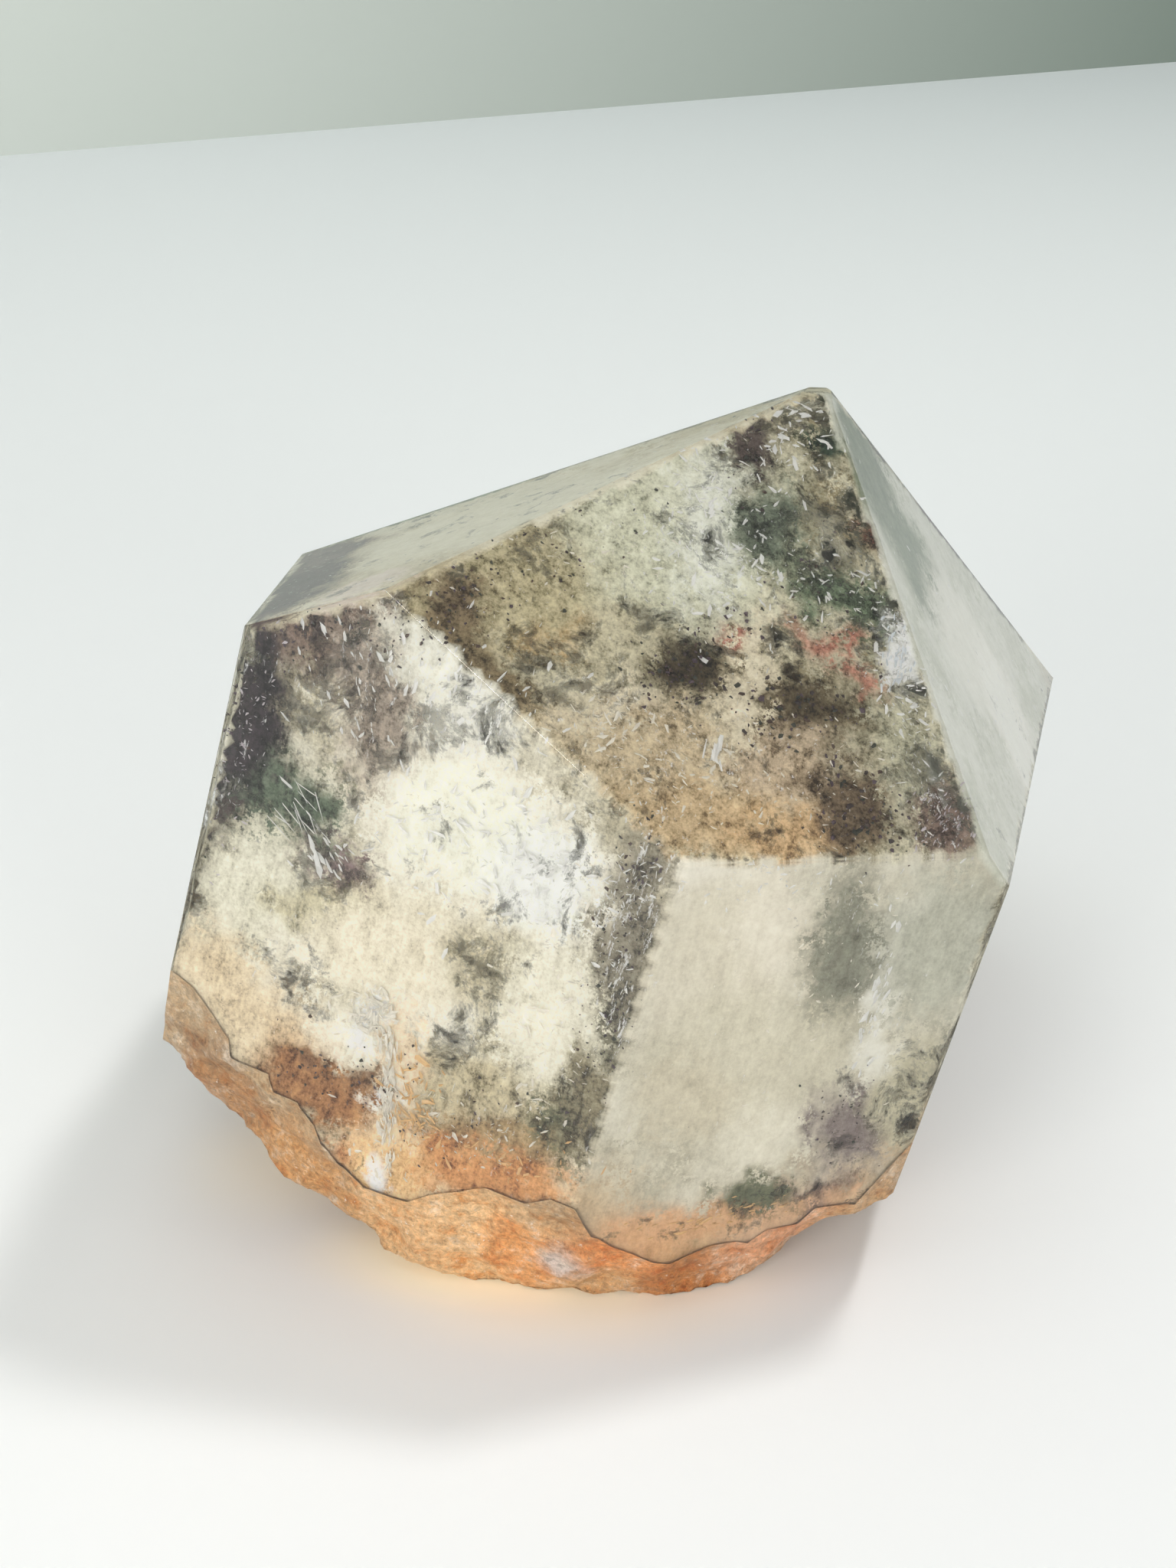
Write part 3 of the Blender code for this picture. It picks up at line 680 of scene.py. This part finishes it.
# shards and grains just under the faces, in groups
# name, spot, spread in picture px, lean, count, length in mm, angle in the picture or None, tint
shardGroups = [
    ("plume", (930, 680), (85, 120), 0, 260, (0.25, 1.0), None, "frost"),
    ("apex", (1050, 565), (60, 65), 0, 120, (0.3, 1.1), None, "frost"),
    ("ridge", (760, 740), (140, 60), 0, 130, (0.2, 0.6), None, "cream"),
    ("slope", (1040, 760), (90, 70), 0, 110, (0.25, 0.9), None, "frost"),
    ("rightEdge", (1180, 900), (28, 140), 19, 190, (0.25, 0.9), None, "frost"),
    ("bed", (900, 1000), (150, 75), 0, 170, (0.25, 0.8), None, "cream"),
    ("umber", (1110, 1020), (70, 70), 0, 70, (0.2, 0.6), None, "cream"),
    ("creamLumps", (795, 945), (48, 38), 20, 70, (0.3, 1.0), None, "cream"),
    ("brightFlake", (941, 985), (10, 18), 0, 10, (0.8, 1.6), 80, "frost"),
    ("silverFlake", (1172, 850), (16, 42), 10, 46, (0.5, 1.3), 70, "silver"),
    ("cornerGlitter", (1240, 1060), (36, 36), 0, 120, (0.2, 0.5), 55, "lilac"),
    ("browNeedles", (470, 900), (70, 90), 0, 90, (0.25, 1.0), 100, "frost"),
    ("crown", (610, 900), (85, 75), 0, 120, (0.3, 1.0), 60, "frost"),
    ("cloud", (610, 1090), (120, 85), 0, 230, (0.3, 1.2), None, "frost"),
    ("cloudRight", (720, 1130), (50, 60), 0, 90, (0.3, 1.0), None, "frost"),
    ("slate", (815, 1180), (34, 120), -16, 190, (0.2, 0.7), None, "frost"),
    ("leafStripes", (392, 1060), (30, 26), 0, 30, (2.0, 4.8), -60, "frost"),
    ("leafRim", (430, 1120), (34, 22), 0, 30, (0.5, 1.4), -60, "frost"),
    ("purpleSpecks", (318, 950), (26, 130), -13, 150, (0.2, 0.5), None, "lilac"),
    ("seamHead", (490, 1325), (34, 38), 0, 130, (0.4, 1.5), None, "cream"),
    ("seam", (506, 1440), (8, 92), 0, 170, (0.4, 1.3), 80, "cream"),
    ("seamRust", (540, 1455), (30, 60), 0, 120, (0.4, 1.4), None, "orange"),
    ("lowCream", (705, 1350), (60, 90), 0, 110, (0.3, 1.0), None, "cream"),
    ("floorGrit", (600, 1490), (140, 50), 0, 230, (0.2, 0.8), None, "cream"),
    ("floorRust", (610, 1530), (120, 30), 0, 150, (0.3, 1.0), None, "orange"),
    ("underTop", (1000, 1150), (120, 26), 0, 80, (0.2, 0.6), None, "frost"),
    ("mist", (1040, 1320), (150, 120), 0, 160, (0.15, 0.5), None, "cream"),
    ("paleStreak", (1152, 1290), (12, 95), -14, 70, (0.3, 1.4), 82, "frost"),
    ("sparkle", (1322, 930), (28, 65), 0, 170, (0.2, 0.7), None, "frost"),
    ("veil", (1250, 860), (45, 120), 15, 90, (0.2, 0.8), None, "frost"),
    ("footRust", (960, 1590), (160, 14), 10, 120, (0.3, 1.0), 10, "orange"),
]
grainGroups = [
    ("leftBand", (302, 930), (26, 140), -13, 330, (0.12, 0.34)),
    ("brow", (440, 825), (80, 34), 8, 200, (0.12, 0.36)),
    ("lumpLeft", (880, 884), (62, 32), -12, 200, (0.15, 0.5)),
    ("lumpRight", (1035, 925), (95, 40), -8, 260, (0.15, 0.5)),
    ("ePrismEdge", (820, 1170), (30, 110), -16, 260, (0.12, 0.36)),
    ("ePrismLow", (790, 1350), (24, 95), -16, 160, (0.12, 0.36)),
    ("shoulder", (590, 800), (80, 44), 20, 170, (0.14, 0.4)),
    ("upperLeft", (720, 730), (120, 50), 20, 170, (0.12, 0.34)),
    ("tipShade", (982, 585), (26, 60), 0, 90, (0.15, 0.45)),
    ("umberLump", (1120, 1055), (44, 62), 10, 190, (0.15, 0.5)),
    ("shoulderLeft", (362, 780), (36, 30), 0, 90, (0.12, 0.3)),
    ("rustPocket", (420, 1400), (80, 40), 0, 130, (0.15, 0.4)),
    ("footLeft", (560, 1440), (110, 60), 0, 130, (0.12, 0.34)),
    ("hillArc", (930, 830), (90, 34), 10, 130, (0.14, 0.4)),
    ("slopeGreen", (1100, 770), (70, 50), -38, 120, (0.14, 0.4)),
    ("violetFoot", (1100, 1465), (36, 60), 10, 110, (0.12, 0.3)),
    ("cornerLow", (1160, 1080), (40, 30), 0, 90, (0.14, 0.4)),
]
shardLook = {"share": 0.75, "grainShare": 0.4, "thick": 0.07, "wide": (0.1, 0.42), "tilt": 0.22, "shallow": 0.08, "deep": 0.26, "corners": 5}


# one flat closed splinter round a spot, pointed on both flats
def addShard(made, spot, normal, along, long, wide, thick, tint, dice):
    side = normal.cross(along).normalized()
    corners = shardLook["corners"]
    ring = []
    for k in range(corners):
        turn = 2 * math.pi * (k + dice.uniform(-0.35, 0.35)) / corners
        out = dice.uniform(0.6, 1.15) * 0.5 * mm
        ring.append(spot + along * (math.cos(turn) * long * out) + side * (math.sin(turn) * wide * out))
    if depthUnderGround(np.array([tuple(p) for p in ring])).min() < 0.04 * mm:
        return
    first = len(made["verts"])
    made["verts"] += ring + [spot + normal * (thick * 0.5 * mm), spot - normal * (thick * 0.5 * mm)]
    made["tints"] += [tint] * (corners + 2)
    for k in range(corners):
        a, b = first + k, first + (k + 1) % corners
        made["faces"] += [(a, b, first + corners), (b, a, first + corners + 1)]


def scatterSpots(spot, spreadPx, lean, count, dice):
    turn = math.radians(lean)
    for _ in range(count):
        x = max(-2.0, min(2.0, dice.gauss(0, 0.62))) * spreadPx[0]
        y = max(-2.0, min(2.0, dice.gauss(0, 0.62))) * spreadPx[1]
        px = spot[0] + x * math.cos(turn) + y * math.sin(turn)
        py = spot[1] + y * math.cos(turn) - x * math.sin(turn)
        hit, normal, _, _ = stoneTree.ray_cast(cameraSpot, sightLine(px, py))
        if hit is not None and faceOf(normal) >= 0:
            yield hit, normal


def turnedHalfRound(hit):
    away = Vector((-hit.x, -hit.y, hit.z)) - heart
    back, normal, _, _ = stoneTree.ray_cast(heart, away.normalized())
    return (back, normal) if back is not None and faceOf(normal) >= 0 else (None, None)


def layShard(made, hit, normal, angle, length, wideShare, thick, tint, dice):
    degrees = dice.uniform(0, 180) if angle is None else angle + dice.gauss(0, 12)
    across = Vector((0, 0, 1)).cross(normal).normalized()
    up = normal.cross(across)
    if angle is not None:
        heading = lookRight * math.cos(math.radians(degrees)) + lookUp * math.sin(math.radians(degrees))
        along = heading - normal * heading.dot(normal)
    else:
        along = across * math.cos(math.radians(degrees)) + up * math.sin(math.radians(degrees))
    tilt = shardLook["tilt"]
    tipped = (normal + across * dice.gauss(0, tilt * 0.5) + up * dice.gauss(0, tilt * 0.5)).normalized()
    along = (along - tipped * along.dot(tipped)).normalized()
    depth = dice.uniform(shardLook["shallow"], shardLook["deep"]) + length * tilt * 0.3
    addShard(made, hit - normal * (depth * mm), tipped, along, length, length * wideShare, thick, tint, dice)


def finishShards(name, made, tintName, gloss):
    mesh = bpy.data.meshes.new(name)
    mesh.from_pydata([tuple(v) for v in made["verts"]], [], made["faces"])
    layer = mesh.color_attributes.new("tint", "FLOAT_COLOR", "POINT")
    layer.data.foreach_set("color", np.column_stack([np.array(made["tints"]), np.ones(len(made["tints"]))]).astype(np.float32).ravel())
    mat, tree, shader, out = freshMaterial(tintName)
    tint = put(tree, "ShaderNodeVertexColor", {"layer_name": "tint"}).outputs["Color"]
    where = put(tree, "ShaderNodeTexCoord").outputs["Object"]
    gain = math2(tree, "ADD", math2(tree, "MULTIPLY", spread(tree, where, 2600.0, 3.0), 0.7), 0.62)
    tree.links.new(insideColour(tree, mixColour(tree, "MULTIPLY", 1.0, tint, grey(tree, gain))), shader.inputs["Base Color"])
    shader.inputs["Roughness"].default_value = gloss
    mesh.materials.append(mat)
    piece = bpy.data.objects.new(name, mesh)
    bpy.context.scene.collection.objects.link(piece)
    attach(piece, "root")
    print(name, len(mesh.polygons), "faces")


def makeShards():
    dice = random.Random(41)
    made = {"verts": [], "faces": [], "tints": []}
    for name, spot, spreadPx, lean, count, lengths, angle, tint in shardGroups:
        for hit, normal in scatterSpots(spot, spreadPx, lean, round(count * shardLook["share"]), dice):
            length = lengths[0] + (lengths[1] - lengths[0]) * dice.random() ** 2.6
            wideShare = dice.uniform(*shardLook["wide"]) if lengths[1] < 2 else dice.uniform(0.03, 0.06)
            colour = linear(*shardTints[tint]) * dice.uniform(0.7, 1.0)
            layShard(made, hit, normal, angle, length, wideShare, shardLook["thick"], colour, dice)
            back, backNormal = turnedHalfRound(hit)
            if back is not None:
                layShard(made, back, backNormal, None, length, wideShare, shardLook["thick"], colour, dice)
    finishShards("frostShards", made, "frostShard", 0.3)
    made = {"verts": [], "faces": [], "tints": []}
    for name, spot, spreadPx, lean, count, lengths in grainGroups:
        for hit, normal in scatterSpots(spot, spreadPx, lean, round(count * shardLook["grainShare"]), dice):
            length = lengths[0] + (lengths[1] - lengths[0]) * dice.random() ** 2
            colour = linear(*dice.choice(((44, 36, 34), (58, 44, 36), (40, 42, 34), (62, 50, 56))))
            layShard(made, hit, normal, None, length, dice.uniform(0.5, 0.9), length * 0.5, colour, dice)
            back, backNormal = turnedHalfRound(hit)
            if back is not None:
                layShard(made, back, backNormal, None, length, dice.uniform(0.5, 0.9), length * 0.5, colour, dice)
    finishShards("darkGrains", made, "darkGrain", 0.45)


# stage and light
studio = {
    # painted shade: the floor goes from floorTint at the front to a darker tint towards the back
    "floorTint": (0.88, 0.885, 0.885, 1), "floorFarShade": (0.66, 0.70, 0.70, 1),
    # painted caustic light: where the stone throws warm light on the floor, painted as a warm tint and a faint glow;
    # spot and reach in mm, strength
    "paintedCausticSpots": (((-9.5, -20.5, 0), (13, 6.5, 9), 0.95), ((-4, -23.5, 0), (15, 8, 9), 0.5), ((-22, -12, 0), (9, 8, 9), 0.25)),
    "paintedCausticTint": (0.95, 0.88, 0.70, 1), "paintedCausticGlow": (0.24, 0.19, 0.10, 1),
    # painted shade: the wall is painted darker from left to right
    "wallLeft": (0.56, 0.60, 0.56, 1), "wallRightShade": (0.20, 0.245, 0.21, 1),
    "worldTint": (0.975, 0.99, 1.0), "worldStrength": 0.515,
    # name, place, aim, size, watts, tint
    "lamps": (
        ("windowRight", (0.24, 0.155, 0.60), (0, 0, 0.02), 0.07, 1.38, (1.0, 0.99, 0.97)),
        ("softTop", (-0.05, -0.05, 0.75), (0, 0, 0), 0.6, 0.75, (0.97, 0.99, 1.0)),
        ("cardLeft", (-0.34, -0.50, 0.13), (0, 0, 0.025), 0.26, 2.3, (1.0, 0.985, 0.95)),
        ("cardRight", (0.30, -0.55, 0.13), (0, 0, 0.025), 0.26, 1.25, (1.0, 0.985, 0.95)),
    ),
}


def makeStudio():
    floorMesh = bpy.data.meshes.new("studioFloor")
    floorMesh.from_pydata([(-3, -3, 0), (3, -3, 0), (3, 3, 0), (-3, 3, 0)], [], [(0, 1, 2, 3)])
    floor = bpy.data.objects.new("studioFloor", floorMesh)
    bpy.context.scene.collection.objects.link(floor)
    mat, tree, shader, out = freshMaterial("studioFloor")
    where = put(tree, "ShaderNodeTexCoord").outputs["Object"]
    depthWay = put(tree, "ShaderNodeSeparateXYZ", None, i0=where).outputs[1]
    # painted shade: the floor is painted darker towards the back
    farShade = math2(tree, "MULTIPLY", math2(tree, "ADD", depthWay, 0.04), 2.6, clamp=True)
    colour = mixColour(tree, "MIX", farShade, studio["floorTint"], studio["floorFarShade"])
    paintedGlow = (0, 0, 0, 1)
    # painted caustic light: each spot mixes a warm tint into the floor's colour and adds a faint glow
    for spot, reach, strength in studio["paintedCausticSpots"]:
        near = put(tree, "ShaderNodeVectorMath", {"operation": "SUBTRACT"}, i0=where, i1=tuple(x * mm for x in spot)).outputs[0]
        near = put(tree, "ShaderNodeVectorMath", {"operation": "MULTIPLY"}, i0=near, i1=tuple(1 / (x * mm) for x in reach)).outputs[0]
        away = put(tree, "ShaderNodeVectorMath", {"operation": "LENGTH"}, i0=near).outputs["Value"]
        causticShare = put(tree, "ShaderNodeMapRange", {"interpolation_type": "SMOOTHSTEP"}, Value=away, i1=0.1, i2=1.0, i3=strength, i4=0.0).outputs[0]
        colour = mixColour(tree, "MIX", causticShare, colour, studio["paintedCausticTint"])
        paintedGlow = mixColour(tree, "ADD", causticShare, paintedGlow, studio["paintedCausticGlow"])
    tree.links.new(colour, shader.inputs["Base Color"])
    tree.links.new(paintedGlow, shader.inputs["Emission Color"])
    shader.inputs["Emission Strength"].default_value = 1.0
    shader.inputs["Roughness"].default_value = 0.8
    shader.inputs["Specular IOR Level"].default_value = 0.15
    floorMesh.materials.append(mat)
    left = cameraSpot + Vector((-0.104, 0.407, 0))
    right = cameraSpot + Vector((0.126, 0.499, 0))
    along = (right - left).normalized()
    a, b = left - along * 2, right + along * 2
    wallMesh = bpy.data.meshes.new("studioWall")
    wallMesh.from_pydata([(a.x, a.y, 0), (b.x, b.y, 0), (b.x, b.y, 1.2), (a.x, a.y, 1.2)], [], [(0, 1, 2, 3)])
    wall = bpy.data.objects.new("studioWall", wallMesh)
    bpy.context.scene.collection.objects.link(wall)
    mat, tree, shader, out = freshMaterial("studioWall")
    where = put(tree, "ShaderNodeTexCoord").outputs["Object"]
    x = put(tree, "ShaderNodeSeparateXYZ", None, i0=where).outputs[0]
    t = math2(tree, "DIVIDE", math2(tree, "SUBTRACT", x, left.x), right.x - left.x, clamp=True)
    # painted shade: the wall's colour darkens towards the right
    tree.links.new(mixColour(tree, "MIX", t, studio["wallLeft"], studio["wallRightShade"]), shader.inputs["Base Color"])
    shader.inputs["Roughness"].default_value = 0.9
    wallMesh.materials.append(mat)


def makeLight():
    world = bpy.data.worlds.new("studioAir")
    world.use_nodes = True
    bpy.context.scene.world = world
    back = world.node_tree.nodes["Background"]
    back.inputs[0].default_value = studio["worldTint"] + (1,)
    back.inputs[1].default_value = studio["worldStrength"]
    for name, place, aim, size, power, tint in studio["lamps"]:
        data = bpy.data.lights.new(name, "AREA")
        data.shape = "SQUARE"
        data.size = size
        data.energy = power
        data.color = tint
        lamp = bpy.data.objects.new(name, data)
        lamp.location = place
        lamp.rotation_mode = "QUATERNION"
        lamp.rotation_quaternion = (Vector(aim) - Vector(place)).to_track_quat("-Z", "Y")
        bpy.context.scene.collection.objects.link(lamp)


def setPicture():
    scene = bpy.context.scene
    scene.view_settings.view_transform = "Standard"
    scene.view_settings.look = "None"
    scene.cycles.max_bounces = 7
    scene.cycles.diffuse_bounces = 3
    scene.cycles.glossy_bounces = 4
    scene.cycles.transmission_bounces = 6
    scene.cycles.transparent_max_bounces = 5
    scene.cycles.caustics_reflective = True
    scene.cycles.caustics_refractive = True


makeCamera()
makeStudio()
makeLight()
setPicture()
makeSkin()
clouds = prepareClouds()
makeShells(clouds)
makeShards()
